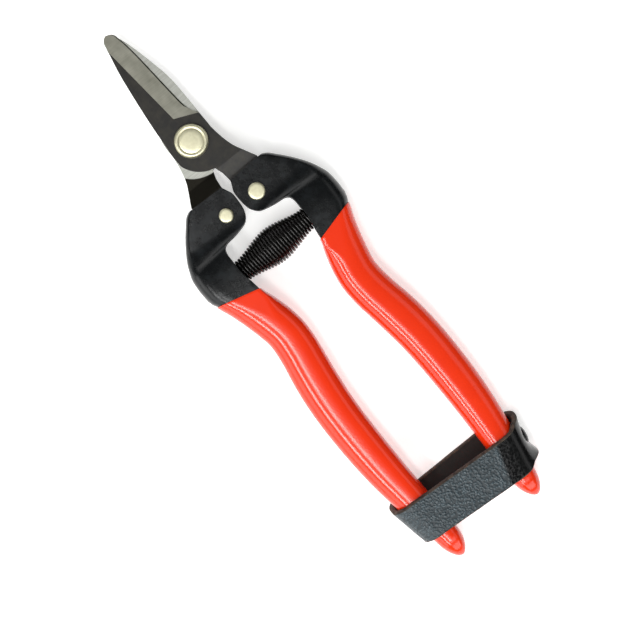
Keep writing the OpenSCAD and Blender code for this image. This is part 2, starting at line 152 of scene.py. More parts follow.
def solid(name: str, rings: Array, closed: bool = False, slots: Array | None = None,
          crease: float = 30.0) -> bpy.types.Object:
    """Joins rings of points into one closed surface.

    Args:
        name: Name of the piece.
        rings: Array of shape (rings, points, 3), in metres.
        closed: Whether the last ring meets the first; else both ends get a flat face.
        slots: Material number of each strip of faces round a ring, or of each face.
        crease: Edges sharper than this many degrees are shaded as edges.

    Returns:
        The new object, with its faces pointing outwards.
    """
    n, m = rings.shape[:2]
    i = np.arange(n if closed else n - 1)[:, None]
    j = np.arange(m)[None, :]
    nxt = (i + 1) % n
    quads = np.stack([i * m + j, i * m + (j + 1) % m, nxt * m + (j + 1) % m, nxt * m + j], -1)
    faces = quads.reshape(-1, 4).tolist()
    if not closed:
        faces += [list(range(m))[::-1], list(range((n - 1) * m, n * m))]
    mesh = bpy.data.meshes.new(name)
    mesh.from_pydata(rings.reshape(-1, 3).tolist(), [], faces)
    index = np.zeros(len(faces), dtype=np.int32)
    if slots is not None:
        index[:quads.shape[0] * m] = np.broadcast_to(slots, (quads.shape[0], m)).ravel()
    mesh.polygons.foreach_set("material_index", index)
    mesh.polygons.foreach_set("use_smooth", np.ones(len(faces), dtype=bool))
    work = bmesh.new()
    work.from_mesh(mesh)
    bmesh.ops.remove_doubles(work, verts=work.verts, dist=WELD)
    bmesh.ops.dissolve_degenerate(work, edges=work.edges, dist=SLIVER)
    bmesh.ops.recalc_face_normals(work, faces=work.faces)
    work.to_mesh(mesh)
    work.free()
    mesh.set_sharp_from_angle(angle=math.radians(crease))
    piece = bpy.data.objects.new(name, mesh)
    bpy.context.scene.collection.objects.link(piece)
    return piece


def soften(piece: bpy.types.Object, width: float, degrees: float = 50.0, segments: int = 2) -> None:
    """Rounds the sharp edges of a piece.

    Args:
        piece: Object to finish.
        width: Width of the rounding, in mm.
        degrees: Edges that turn by more than this are rounded.
        segments: Faces across the rounding.
    """
    bevel = piece.modifiers.new("edges", "BEVEL")
    bevel.width = width * MM
    bevel.segments = segments
    bevel.limit_method = "ANGLE"
    bevel.angle_limit = math.radians(degrees)
    bevel.harden_normals = False


# ---------------------------------------------------------------- finishes


Inputs = dict[str | int, object]


def feed(tree: bpy.types.NodeTree, node: bpy.types.Node, inputs: Inputs) -> None:
    """Links or sets inputs of a node.

    Args:
        tree: Material's node tree.
        node: Node to feed.
        inputs: Input name, or its number where names repeat, to a node, whose first live
            output is linked, to a socket, or to a value.
    """
    for key, value in inputs.items():
        if isinstance(value, bpy.types.Node):
            value = next(out for out in value.outputs if out.enabled)
        if isinstance(value, bpy.types.NodeSocket):
            tree.links.new(value, node.inputs[key])
        else:
            node.inputs[key].default_value = value


def add(tree: bpy.types.NodeTree, kind: str, inputs: Inputs | None = None,
        **settings: object) -> bpy.types.Node:
    """Adds a node with its settings and links.

    Args:
        tree: Material's node tree.
        kind: Blender's name of the node, without "ShaderNode".
        inputs: As in feed().
        settings: Attributes to set.

    Returns:
        The new node.
    """
    node = tree.nodes.new("ShaderNode" + kind)
    for key, value in settings.items():
        setattr(node, key, value)
    feed(tree, node, inputs or {})
    return node


@dataclass(frozen=True)
class Finish:
    """Base of every finish: its name, two tones and the numbers that most finishes share.

    Sizes and depths of a pattern are in mm, and relief is the depth of the finest one.
    """

    name: str
    dark: str = "#000000"
    light: str = "#ffffff"
    rough: tuple[float, float] = (0.5, 0.5)
    relief: float = 0.0
    metallic: float = 0.0
    ior: float = 1.5

    def pattern(self, tree: bpy.types.NodeTree, at: bpy.types.Node) -> Inputs:
        """What feeds the shader; each finish has its own.

        Args:
            tree: Material's node tree.
            at: Object coordinates in millimetres.

        Returns:
            Shader inputs.
        """
        raise NotImplementedError

    def surface(self, tree: bpy.types.NodeTree, share: bpy.types.Node, grain: bpy.types.Node,
                below: bpy.types.Node | None = None,
                dull: bpy.types.Node | None = None) -> Inputs:
        """Shader inputs worked out the same way in every finish.

        Args:
            tree: Material's node tree.
            share: Pattern that turns the dark tone into the light one.
            grain: Finest pattern, which stands up by relief.
            below: Coarser bump under the grain, if there is one.
            dull: Pattern that takes rough from its first value to its second, if it is not
                the grain.

        Returns:
            Base colour, roughness and normal.
        """
        bump = {"Height": grain, "Distance": self.relief * MM}
        if below is not None:
            bump["Normal"] = below
        return {"Base Color": add(tree, "Mix", {0: share, 6: linear(self.dark),
                                                7: linear(self.light)}, data_type="RGBA"),
                "Roughness": add(tree, "MapRange", {"Value": dull or grain,
                                                    "To Min": self.rough[0],
                                                    "To Max": self.rough[1]}),
                "Normal": add(tree, "Bump", bump)}

    def material(self) -> bpy.types.Material:
        """Makes the material, or gives the one already made under this name.

        Returns:
            The material.
        """
        if self.name in bpy.data.materials:
            return bpy.data.materials[self.name]
        made = bpy.data.materials.new(self.name)
        made.use_nodes = True
        tree = made.node_tree
        shader = tree.nodes["Principled BSDF"]
        feed(tree, shader, {"Metallic": self.metallic, "IOR": self.ior})
        source = add(tree, "TexCoord")
        at = add(tree, "Mapping", {"Vector": source.outputs["Object"],
                                   "Scale": (1 / MM, 1 / MM, 1 / MM)})
        feed(tree, shader, self.pattern(tree, at))
        return made


@dataclass(frozen=True)
class BlackOxide(Finish):
    """Carbon steel in a hot black oxide bath: a thin brown-black skin, cloudy, faintly rolled."""

    name: str = "black_oxide_steel"
    dark: str = "#0f0d0a"
    light: str = "#252219"
    rough: tuple[float, float] = (0.34, 0.52)
    relief: float = 0.006
    metallic: float = 0.18
    cloud: float = 3.2
    roll_mark: float = 0.5

    def pattern(self, tree: bpy.types.NodeTree, at: bpy.types.Node) -> Inputs:
        """Clouds of two browns, with marks along the blade from the rolled strip.

        Args:
            tree: Material's node tree.
            at: Object coordinates in millimetres.

        Returns:
            Shader inputs.
        """
        clouds = add(tree, "TexNoise", {"Vector": at, "Scale": 1 / self.cloud, "Detail": 5,
                                        "Roughness": 0.65})
        along = add(tree, "Mapping", {"Vector": at, "Scale": (1, 0.12, 1)})
        marks = add(tree, "TexNoise", {"Vector": along, "Scale": 1 / self.roll_mark})
        share = add(tree, "MapRange", {"Value": clouds, "From Min": 0.4, "From Max": 0.75})
        return self.surface(tree, share, marks)


@dataclass(frozen=True)
class GroundSteel(Finish):
    """Bare steel off a surface grinder: olive grey, with fine scratches across the blade."""

    name: str = "ground_steel"
    dark: str = "#a3a293"
    light: str = "#cdccbd"
    rough: tuple[float, float] = (0.3, 0.48)
    relief: float = 0.003
    metallic: float = 1.0
    scratch: float = 0.22
    cloud: float = 4.5
    cloud_share: float = 0.6

    def pattern(self, tree: bpy.types.NodeTree, at: bpy.types.Node) -> Inputs:
        """Scratches are noise drawn out along X; the real ones are finer than can show.

        Args:
            tree: Material's node tree.
            at: Object coordinates in millimetres.

        Returns:
            Shader inputs.
        """
        across = add(tree, "Mapping", {"Vector": at, "Scale": (0.03, 1, 0.05)})
        lines = add(tree, "TexNoise", {"Vector": across, "Scale": 1 / self.scratch,
                                       "Detail": 3, "Roughness": 0.6})
        clouds = add(tree, "TexNoise", {"Vector": at, "Scale": 1 / self.cloud, "Detail": 2})
        faint = add(tree, "Math", {0: lines, 1: 1 - self.cloud_share}, operation="MULTIPLY")
        shade = add(tree, "Math", {0: clouds, 1: self.cloud_share, 2: faint},
                    operation="MULTIPLY_ADD")
        share = add(tree, "MapRange", {"Value": shade, "From Min": 0.32, "From Max": 0.68})
        return self.surface(tree, share, lines)


@dataclass(frozen=True)
class MatingFace(Finish):
    """Inside of a blade: ground bare, down to a round land about the pivot; oxide below."""

    name: str = "ground_mating_face"
    oxide: str = "#211f1a"
    dark: str = "#8d8d84"
    light: str = "#c6c8c1"
    rough: tuple[float, float] = (0.36, 0.5)
    relief: float = 0.004
    metallic: float = 0.95
    land_r: float = 11.2
    land_edge: float = 0.1
    scratch: float = 0.3

    def pattern(self, tree: bpy.types.NodeTree, at: bpy.types.Node) -> Inputs:
        """Bare up the blade and within land_r of the pivot: the length of (x, y below it).

        Args:
            tree: Material's node tree.
            at: Object coordinates in millimetres.

        Returns:
            Shader inputs.
        """
        parts = add(tree, "SeparateXYZ", {0: at})
        from_axis = add(tree, "Math", {0: parts.outputs["Y"], 1: PIVOT[1] / MM},
                        operation="SUBTRACT")
        below = add(tree, "Math", {0: from_axis, 1: 0.0}, operation="MINIMUM")
        flat = add(tree, "CombineXYZ", {"X": parts.outputs["X"], "Y": below})
        reach = add(tree, "VectorMath", {0: flat}, operation="LENGTH").outputs["Value"]
        is_bare = add(tree, "MapRange", {"Value": reach,
                                         "From Min": self.land_r - self.land_edge,
                                         "From Max": self.land_r + self.land_edge,
                                         "To Min": 1.0, "To Max": 0.0})
        across = add(tree, "Mapping", {"Vector": at, "Scale": (0.04, 1, 1)})
        lines = add(tree, "TexNoise", {"Vector": across, "Scale": 1 / self.scratch})
        inputs = self.surface(tree, lines, lines)
        bare = inputs["Base Color"].outputs[2]
        inputs["Base Color"] = add(tree, "Mix", {0: is_bare, 6: linear(self.oxide), 7: bare},
                                   data_type="RGBA")
        return inputs


@dataclass(frozen=True)
class NickelPlate(Finish):
    """Steel with dull nickel plate, warm in tone, tumbled so that it is dented all over."""

    name: str = "nickel_plated_steel"
    dark: str = "#c2be9e"
    light: str = "#dfdcc0"
    rough: tuple[float, float] = (0.34, 0.5)
    relief: float = 0.006
    metallic: float = 1.0
    dent: float = 1.1
    dent_depth: float = 0.02
    grain: float = 0.2

    def pattern(self, tree: bpy.types.NodeTree, at: bpy.types.Node) -> Inputs:
        """Soft dents about a millimetre across, with a fine grain over them.

        Args:
            tree: Material's node tree.
            at: Object coordinates in millimetres.

        Returns:
            Shader inputs.
        """
        dents = add(tree, "TexNoise", {"Vector": at, "Scale": 1 / self.dent, "Detail": 3})
        grain = add(tree, "TexNoise", {"Vector": at, "Scale": 1 / self.grain})
        low = add(tree, "Bump", {"Height": dents, "Distance": self.dent_depth * MM})
        return self.surface(tree, dents, grain, low)


@dataclass(frozen=True)
class BlackCoat(Finish):
    """Pressed steel in a dipped black lacquer: blue-black, half glossy, slightly rippled."""

    name: str = "black_lacquered_steel"
    dark: str = "#030506"
    light: str = "#14191c"
    rough: tuple[float, float] = (0.22, 0.34)
    relief: float = 0.005
    ior: float = 1.42
    cloud: float = 4.5
    ripple: float = 2.4
    ripple_depth: float = 0.04
    grain: float = 0.25

    def pattern(self, tree: bpy.types.NodeTree, at: bpy.types.Node) -> Inputs:
        """Ripples a few millimetres apart, under clouds of dust and handling.

        Args:
            tree: Material's node tree.
            at: Object coordinates in millimetres.

        Returns:
            Shader inputs.
        """
        clouds = add(tree, "TexNoise", {"Vector": at, "Scale": 1 / self.cloud, "Detail": 5,
                                        "Roughness": 0.7})
        ripples = add(tree, "TexNoise", {"Vector": at, "Scale": 1 / self.ripple})
        grain = add(tree, "TexNoise", {"Vector": at, "Scale": 1 / self.grain})
        dust = add(tree, "MapRange", {"Value": clouds, "From Min": 0.5, "From Max": 0.85})
        dull = add(tree, "MapRange", {"Value": clouds, "From Min": 0.3, "From Max": 0.75})
        low = add(tree, "Bump", {"Height": ripples, "Distance": self.ripple_depth * MM})
        return self.surface(tree, dust, grain, low, dull)


@dataclass(frozen=True)
class RedVinyl(Finish):
    """Soft PVC dipped over the handle: glossy, with slow waves under a fine skin."""

    name: str = "dipped_red_vinyl"
    dark: str = "#d02a06"
    light: str = "#d93008"
    rough: tuple[float, float] = (0.15, 0.2)
    relief: float = 0.0006
    cloud: float = 7.0
    wave: float = 4.5
    wave_depth: float = 0.006
    skin: float = 0.4

    def pattern(self, tree: bpy.types.NodeTree, at: bpy.types.Node) -> Inputs:
        """Waves drawn out along the handle, as the vinyl runs when it drains.

        Args:
            tree: Material's node tree.
            at: Object coordinates in millimetres.

        Returns:
            Shader inputs.
        """
        along = add(tree, "Mapping", {"Vector": at, "Scale": (1, 0.25, 1)})
        waves = add(tree, "TexNoise", {"Vector": along, "Scale": 1 / self.wave})
        skin = add(tree, "TexNoise", {"Vector": at, "Scale": 1 / self.skin, "Detail": 3})
        clouds = add(tree, "TexNoise", {"Vector": at, "Scale": 1 / self.cloud})
        low = add(tree, "Bump", {"Height": waves, "Distance": self.wave_depth * MM})
        return self.surface(tree, clouds, skin, low)


@dataclass(frozen=True)
class OiledWire(Finish):
    """Music wire, blackened and oiled: nearly black with a small hard glint."""

    name: str = "oiled_spring_wire"
    dark: str = "#090808"
    light: str = "#181614"
    rough: tuple[float, float] = (0.14, 0.24)
    relief: float = 0.003
    metallic: float = 0.5
    grain: float = 0.25

    def pattern(self, tree: bpy.types.NodeTree, at: bpy.types.Node) -> Inputs:
        """Drawing marks, which are finer than can show, as grains of a quarter millimetre.

        Args:
            tree: Material's node tree.
            at: Object coordinates in millimetres.

        Returns:
            Shader inputs.
        """
        grain = add(tree, "TexNoise", {"Vector": at, "Scale": 1 / self.grain})
        return self.surface(tree, grain, grain)


@dataclass(frozen=True)
class Leather(Finish):
    """Side leather with a pressed pebble grain, dyed blue-black; its end at the rivet is smoother
    and painted near-black as shade.
    """

    name: str = "pebbled_leather"
    # dark is painted shade in the pebble valleys, light a painted highlight on their crowns.
    dark: str = "#20292d"
    light: str = "#4b595f"
    # Near-black painted shade for the strap's end by the rivet.
    painted_shade_colour: str = "#040505"
    rough: tuple[float, float] = (0.5, 0.26)
    relief: float = 0.012
    ior: float = 1.45
    pebble: float = 0.75
    pebble_depth: float = 0.2
    stray: float = 0.9
    patch: float = 3.5
    pore: float = 0.18
    shade_from: float = 12.4
    shade_slope: float = 0.32
    shade_edge: tuple[float, float] = (-0.5, 1.1)
    end_gloss: float = 0.24
    end_pebbles_left: float = 0.06
    middle_y: float = -131.0

    def shaded_end(self, tree: bpy.types.NodeTree, at: bpy.types.Node) -> bpy.types.Node:
        """Where the end by the rivet is painted near-black as shade and made smoother: past a line
        that leans across the strap.

        Args:
            tree: Material's node tree.
            at: Object coordinates in millimetres.

        Returns:
            0 on the pebbles and 1 on the end in painted shade.
        """
        parts = add(tree, "SeparateXYZ", {0: at})
        lean = add(tree, "Math", {0: parts.outputs["Y"], 1: -self.shade_slope,
                                  2: parts.outputs["X"]}, operation="MULTIPLY_ADD")
        start = self.shade_from - self.shade_slope * (self.middle_y + PIVOT[1] / MM)
        return add(tree, "MapRange", {"Value": lean, "From Min": start + self.shade_edge[0],
                                      "From Max": start + self.shade_edge[1]},
                   interpolation_type="SMOOTHSTEP")

    def pattern(self, tree: bpy.types.NodeTree, at: bpy.types.Node) -> Inputs:
        """Pebbles are cells of uneven size; they fade on the smoother end, which is painted in
        shade.

        Args:
            tree: Material's node tree.
            at: Object coordinates in millimetres.

        Returns:
            Shader inputs.
        """
        warp = add(tree, "TexNoise", {"Vector": at, "Scale": 0.7})
        bent = add(tree, "VectorMath", {0: warp.outputs["Color"], 1: (self.stray,) * 3, 2: at},
                   operation="MULTIPLY_ADD")
        cells = add(tree, "TexVoronoi", {"Vector": bent, "Scale": 1 / self.pebble,
                                         "Smoothness": 0.4}, feature="SMOOTH_F1")
        height = add(tree, "MapRange", {"Value": cells, "From Min": 0.1, "From Max": 0.75,
                                        "To Min": 1.0, "To Max": 0.0},
                     interpolation_type="SMOOTHSTEP")
        patches = add(tree, "TexNoise", {"Vector": at, "Scale": 1 / self.patch, "Detail": 3})
        # Pebble crowns painted lighter and valleys darker: painted highlight and painted shade,
        # broken by random patches.
        share = add(tree, "Math", {0: height, 1: patches}, operation="MULTIPLY")
        polish = add(tree, "MapRange", {"Value": share, "From Max": 0.6})
        shade_and_smoothing = self.shaded_end(tree, at)
        depth = add(tree, "MapRange", {"Value": shade_and_smoothing, "To Min": 1.0,
                                       "To Max": self.end_pebbles_left})
        pebbles = add(tree, "Math", {0: height, 1: depth}, operation="MULTIPLY")
        pores = add(tree, "TexNoise", {"Vector": at, "Scale": 1 / self.pore, "Detail": 3})
        low = add(tree, "Bump", {"Height": pebbles, "Distance": self.pebble_depth * MM})
        inputs = self.surface(tree, share, pores, low, polish)
        skin = inputs["Base Color"].outputs[2]
        # The end by the rivet is painted near-black: painted shade over the leather's colour.
        inputs["Base Color"] = add(tree, "Mix", {0: shade_and_smoothing, 6: skin, 7: linear(self.painted_shade_colour)},
                                   data_type="RGBA")
        inputs["Roughness"] = add(tree, "Math", {0: shade_and_smoothing, 1: -self.end_gloss,
                                                 2: inputs["Roughness"]},
                                  operation="MULTIPLY_ADD")
        return inputs


@dataclass(frozen=True)
class RawLeather(Finish):
    """Cut edge or flesh side of the leather: matt fibres with the dye half through."""

    name: str = "raw_leather_edge"
    dark: str = "#14100d"
    light: str = "#5a4a3c"
    rough: tuple[float, float] = (0.85, 0.85)
    relief: float = 0.1
    fibre: float = 0.35
    patch: float = 1.75

    def pattern(self, tree: bpy.types.NodeTree, at: bpy.types.Node) -> Inputs:
        """Short fibres: two sizes of noise over each other.

        Args:
            tree: Material's node tree.
            at: Object coordinates in millimetres.

        Returns:
            Shader inputs.
        """
        fibres = add(tree, "TexNoise", {"Vector": at, "Scale": 1 / self.fibre, "Detail": 4,
                                        "Roughness": 0.7})
        patches = add(tree, "TexNoise", {"Vector": at, "Scale": 1 / self.patch})
        both = add(tree, "Math", {0: fibres, 1: patches}, operation="MULTIPLY")
        share = add(tree, "MapRange", {"Value": both, "From Min": 0.15, "From Max": 0.45})
        return self.surface(tree, share, fibres)


@dataclass(frozen=True)
class Paper(Finish):
    """Seamless paper over a light table: matt, pale, and it glows a little."""

    name: str = "pale_paper"
    dark: str = "#e5e5e4"
    light: str = "#e9e9e8"
    rough: tuple[float, float] = (0.9, 0.9)
    tooth: float = 0.5
    glow: float = 0.6

    def pattern(self, tree: bpy.types.NodeTree, at: bpy.types.Node) -> Inputs:
        """A tooth of half a millimetre, barely there.

        Args:
            tree: Material's node tree.
            at: Object coordinates in millimetres.

        Returns:
            Shader inputs.
        """
        tooth = add(tree, "TexNoise", {"Vector": at, "Scale": 1 / self.tooth})
        return {**self.surface(tree, tooth, tooth), "Emission Color": linear(self.light),
                "Emission Strength": self.glow}


def dress(piece: bpy.types.Object, body: str, slot: str, *finishes: Finish) -> None:
    """Gives a piece its materials and its body.

    Args:
        piece: Object to dress.
        body: CAD body that it moves with, or an empty string for none.
        slot: The record's material slot; not used.
        finishes: One finish per material number.
    """
    for finish in finishes:
        piece.data.materials.append(finish.material())
    if body:
        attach(piece, body)
    LOG.info("%s: %d faces", piece.name, len(piece.data.polygons))


# ---------------------------------------------------------------- blades


class Back(Enum):
    """How full a blade's back is: rows of share of half its width and share of its length."""

    NARROW = ((1, 0), (0.955, 0.09), (0.87, 0.28), (0.75, 0.475), (0.59, 0.69), (0.43, 0.835),
              (0.28, 0.94))
    FULL = ((1, 0), (1, 0.09), (1, 0.28), (0.955, 0.475), (0.76, 0.66), (0.5, 0.85),
            (0.32, 0.94))


@dataclass
class Blade:
    """One blade with its tang, in mm: a tapered plate, joggled down to the tang's plane.

    edge has the rows of Back; tang_left, tang_right and tang_end have x and y in each row.
    The bevel falls to edge_t at the edge, and the honed strip hone_w wide, painted dark as
    the shadow between the blades, falls by hone_drop more, but never so far that less than
    least_t is left. The heel is an arc of heel_r, its centre heel_drop below the pivot.
    """

    side: Side
    node: str
    back: Back
    edge: Rows = ((1, 0), (1, 0.07), (0.965, 0.135), (0.9, 0.16), (0.815, 0.185),
                  (0.74, 0.22), (0.67, 0.29), (0.59, 0.48), (0.495, 0.72), (0.4, 0.87),
                  (0.32, 0.94))
    tang_left: Rows = ((3.4, -28), (1.6, -26.2), (1.6, -15.8), (1.3, -13.2), (0.75, -11.6))
    tang_right: Rows = ((12.6, -15.8), (12.5, -15.3), (10.95, -12.4), (9.2, -9), (8.25, -6),
                        (7.6, -2.6), (7.3, 0), (7.3, 2))
    tang_end: Rows = ((9.6, -28), (12.6, -24))
    half: float = 7.3
    thickness: float = 2.2
    gap: float = 0.06
    edge_t: float = 0.5
    least_t: float = 0.1
    edge_round: float = 0.08
    bevel: float = 5.35
    bevel_lean: float = 0.34
    bevel_end: float = 0.86
    bevel_least_y: float = 3.0
    heel_y: float = 8.5
    shoulder_slope: float = 0.44
    shoulder_w: float = 0.14
    shoulder_room: float = 0.05
    hone_w: float = 0.4
    hone_drop: float = 0.35
    hone_run: float = 1.5
    heel_r: float = 9.75
    heel_drop: float = 1.0
    heel_proud: float = 0.3
    heel_turn: float = 80.0
    heel_top: tuple[float, float] = (0.1, -3.7)
    heel_inside: float = 0.46
    joggle: tuple[float, float] = (-15.8, -11.3)
    columns_in: tuple[int, int, int, int] = (12, 3, 12, 5)
    length: float = field(init=False)

    def __post_init__(self) -> None:
        """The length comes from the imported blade."""
        self.length = float(box_mm(self.node)[1][1])

    def half_width(self, rows: Rows, y: Array) -> Array:
        """Distance from the middle to one side, above the pivot.

        Args:
            rows: Shares of half the width and of the length.
            y: Heights above the pivot.

        Returns:
            A curve through the rows, closed by a quarter ellipse at the tip.
        """
        table = np.array(rows, dtype=float)
        line = curve(table, np.linspace(0, len(table) - 1, 400))
        start = table[-1, 1]
        share = np.clip(y / self.length, 0, 1)
        tip = np.clip((share - start) / (1 - start), 0, 1)
        wide = np.interp(share, line[:, 1], line[:, 0])
        return self.half * wide * np.sqrt(1 - tip ** 2)

    def left(self, y: Array) -> Array:
        """Back of the blade, then the round heel, then the tang's inner side.

        Args:
            y: Heights above the pivot.

        Returns:
            x of the left edge.
        """
        centre_x = self.heel_r - self.half - self.heel_proud
        heel_end = -self.heel_drop - self.heel_r * math.sin(math.radians(self.heel_turn))
        rise = self.heel_r ** 2 - (y + self.heel_drop) ** 2
        arc = centre_x - np.sqrt(np.clip(rise, 0, None))
        tang_x, tang_y = np.array([*self.tang_left, (self.heel_inside, heel_end)]).T
        tang = np.interp(y, tang_y, tang_x)
        step, heel_top = self.heel_top
        blade = np.interp(y, [heel_top, 0], [step - self.half, -self.half])
        upper = np.where(y < 0, blade, -self.half_width(self.back.value, y))
        return np.where(y < heel_end, tang, np.where(y < heel_top, arc, upper))

    def right(self, y: Array) -> Array:
        """Cutting edge of the blade, then a hollow curve out to the tang's outer side.

        Args:
            y: Heights above the pivot.

        Returns:
            x of the right edge.
        """
        rows = np.array(self.tang_right, dtype=float)
        flare_x, flare_y = curve(rows, np.linspace(0, len(rows) - 1, 140)).T
        end_x, end_y = np.array(self.tang_end).T
        upper = np.where(y < 0, np.interp(y, flare_y, flare_x), self.half_width(self.edge, y))
        return np.where(y < rows[0, 1], np.interp(y, end_y, end_x), upper)

    def heights(self) -> Array:
        """Heights of the cross-sections, closer together at the heel, shoulder and tip.

        Returns:
            Even steps from each height to the next, and ever smaller ones up the round tip.
        """
        round_from = self.edge[-1][1]
        tip = 1 - (1 - round_from) * (1 - np.sin(np.linspace(0, np.pi / 2, 24)))
        ends = [*[y for _, y in self.tang_end], -16, -9.5, 3, 10, round_from * self.length]
        steps = [np.linspace(low, high, count)
                 for low, high, count in zip(ends, ends[1:], (6, 9, 60, 60, 70, 70))]
        return np.unique(np.concatenate([*steps, tip * self.length]).round(4))

    def columns(self, y: Array, left: Array, right: Array) -> tuple[Array, int, int]:
        """Where each cross-section has its points.

        Args:
            y: Heights of the cross-sections.
            left: x of the left edge at each.
            right: x of the right edge at each.

        Returns:
            x of the points, from the left edge to the start of the bevel, over the small
            wall at its shoulder, on to the honed strip and the right edge; then the
            columns at which the bevel and the honed strip start.
        """
        line = self.bevel_line(y)
        shoulder = (self.heel_y - y) / self.shoulder_slope
        start = np.clip(np.where(y < self.heel_y, shoulder, line), left, right)
        wall = np.minimum(start + self.shoulder_w, right)
        hone = right - self.hone_w * smooth((y - self.heel_y) / self.hone_run)
        marks = [left, start, wall, np.maximum(hone, wall), right]
        parts = [mix(a[:, None], b[:, None], np.linspace(0, 1, count))
                 for a, b, count in zip(marks, marks[1:], self.columns_in)]
        return np.concatenate(parts, axis=1), self.columns_in[0], sum(self.columns_in[:3])

    def bevel_line(self, y: Array) -> Array:
        """x at which the bevel starts: a straight line that leans over the back."""
        return -self.bevel_slope() * (y - self.heel_y)

    def bevel_slope(self) -> float:
        """How far the bevel's line leans over for each millimetre up the blade."""
        return self.bevel_lean * self.half / (self.bevel_end * self.length - self.heel_y)

    def ground_away(self, x: Array, y: Array, right: Array, bevel_from: int,
                    hone_from: int) -> Array:
        """How much lower than the flat the top is.

        Args:
            x: Points of each cross-section.
            y: Their heights, in the same shape.
            right: x of the right edge at each cross-section.
            bevel_from: Column at which the bevel starts.
            hone_from: Column at which the honed strip starts.

        Returns:
            An even fall from the bevel's line, of thickness less edge_t over the bevel's
            width, and a further hone_drop over the honed strip.
        """
        lean = math.cos(math.atan(self.bevel_slope()))
        away = np.clip(x - self.bevel_line(y), 0, None) * lean
        fall = (self.thickness - self.edge_t) / self.bevel
        honed = np.clip(x - x[:, hone_from, None], 0, None) * self.hone_drop / self.hone_w
        honed = honed * smooth((y - self.heel_y) / self.hone_run)
        depth = np.minimum(away * fall + honed, self.thickness - self.least_t)
        ground = np.arange(x.shape[1]) >= bevel_from + 1
        reach = right[:, None] + self.shoulder_room
        above = y > self.heel_y - self.shoulder_slope * reach
        return np.where(ground & above & (y > self.bevel_least_y), depth, 0)

    def surfaces(self, y: Array, right: Array, columns: int, bevel_from: int,
                 hone_from: int) -> Array:
        """Which finish each face has: 0 oxide, 1 ground, 2 strip in painted shadow, 3 mating face.

        Args:
            y: Heights of the cross-sections.
            right: x of the right edge at each.
            columns: Points across the top of each.
            bevel_from: As in ground_away().
            hone_from: As in ground_away().

        Returns:
            One row per strip of faces between two cross-sections.
        """
        slots = np.zeros((len(y) - 1, 2 * columns), dtype=int)
        bare = y[:-1] > self.heel_y - self.shoulder_slope * right[:-1]
        bare &= y[:-1] > self.bevel_least_y
        slots[np.ix_(bare, range(bevel_from, columns))] = 1
        # Material 2 paints the shadow of the gap between the blades along the cutting edge.
        slots[np.ix_(bare & (y[:-1] > self.heel_y), range(hone_from, columns))] = 2
        slots[:, columns:-1] = 3
        return slots

    def build(self) -> bpy.types.Object:
        """Rings across the blade: over the top from left to right and back underneath.

        Returns:
            The piece, a plate that the joggle takes down to the tang's plane.
        """
        y = self.heights()
        left, right = self.left(y), self.right(y)
        x, bevel_from, hone_from = self.columns(y, left, right)
        grid_y = np.broadcast_to(y[:, None], x.shape)
        depth = self.ground_away(x, grid_y, right, bevel_from, hone_from)
        top = np.interp(y, self.joggle, [self.thickness / 2, self.gap / 2 + self.thickness])
        low = np.interp(y, self.joggle, [-self.thickness / 2, self.gap / 2])
        over = np.stack([x, grid_y, top[:, None] - depth], -1)
        under = np.stack([x, grid_y, np.broadcast_to(low[:, None], x.shape)], -1)[:, ::-1]
        rings = np.concatenate([over, under], axis=1)
        slots = self.surfaces(y, right, x.shape[1], bevel_from, hone_from)
        piece = solid(f"{self.node}_ground", self.side.place(rings), slots=slots, crease=7)
        soften(piece, self.edge_round, 60)
        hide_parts(self.node)
        dress(piece, self.side.body, "blade_steel", BlackOxide(), GroundSteel(),
              # Material 2: ground steel darkened as a painted shadow along the cutting edge.
              GroundSteel(name="edge_painted_shadow_steel", dark="#33332e", light="#4c4c45"),
              MatingFace())
        return piece


# ---------------------------------------------------------------- turned pieces


def lathe(name: str, profile: Sequence[tuple[float, float]], at: Array, axis: Array,
          around: int = 96, crease: float = 30.0) -> bpy.types.Object:
    """Turns a profile round an axis.

    Args:
        name: Name of the piece.
        profile: (radius, height) in mm, from one end of the axis to the other.
        at: Foot of the axis, in metres.
        axis: Unit vector along it.
        around: Points round a ring.
        crease: As in solid().

    Returns:
        The turned piece: radius times (cos, sin) of the angle, plus height along the axis.
    """
    angle = np.linspace(0, 2 * np.pi, around, endpoint=False)
    helper = np.array([0.0, 1.0, 0.0]) if abs(axis[1]) < 0.9 else np.array([1.0, 0.0, 0.0])
    u = np.cross(helper, axis)
    u /= np.linalg.norm(u)
    v = np.cross(axis, u)
    radius, height = np.array(profile).T
    circle = np.cos(angle)[:, None] * u + np.sin(angle)[:, None] * v
    rings = at + (radius[:, None, None] * circle[None] + height[:, None, None] * axis) * MM
    return solid(name, rings, crease=crease)


def round_over(r0: float, z0: float, r1: float, z1: float,
               steps: int = 7) -> list[tuple[float, float]]:
    """Quarter ellipse from (r0, z0) to (r1, z1), leaving upwards and arriving inwards."""
    turn = np.linspace(0, np.pi / 2, steps)
    return [(mix(r1, r0, math.cos(t)), mix(z0, z1, math.sin(t))) for t in turn]


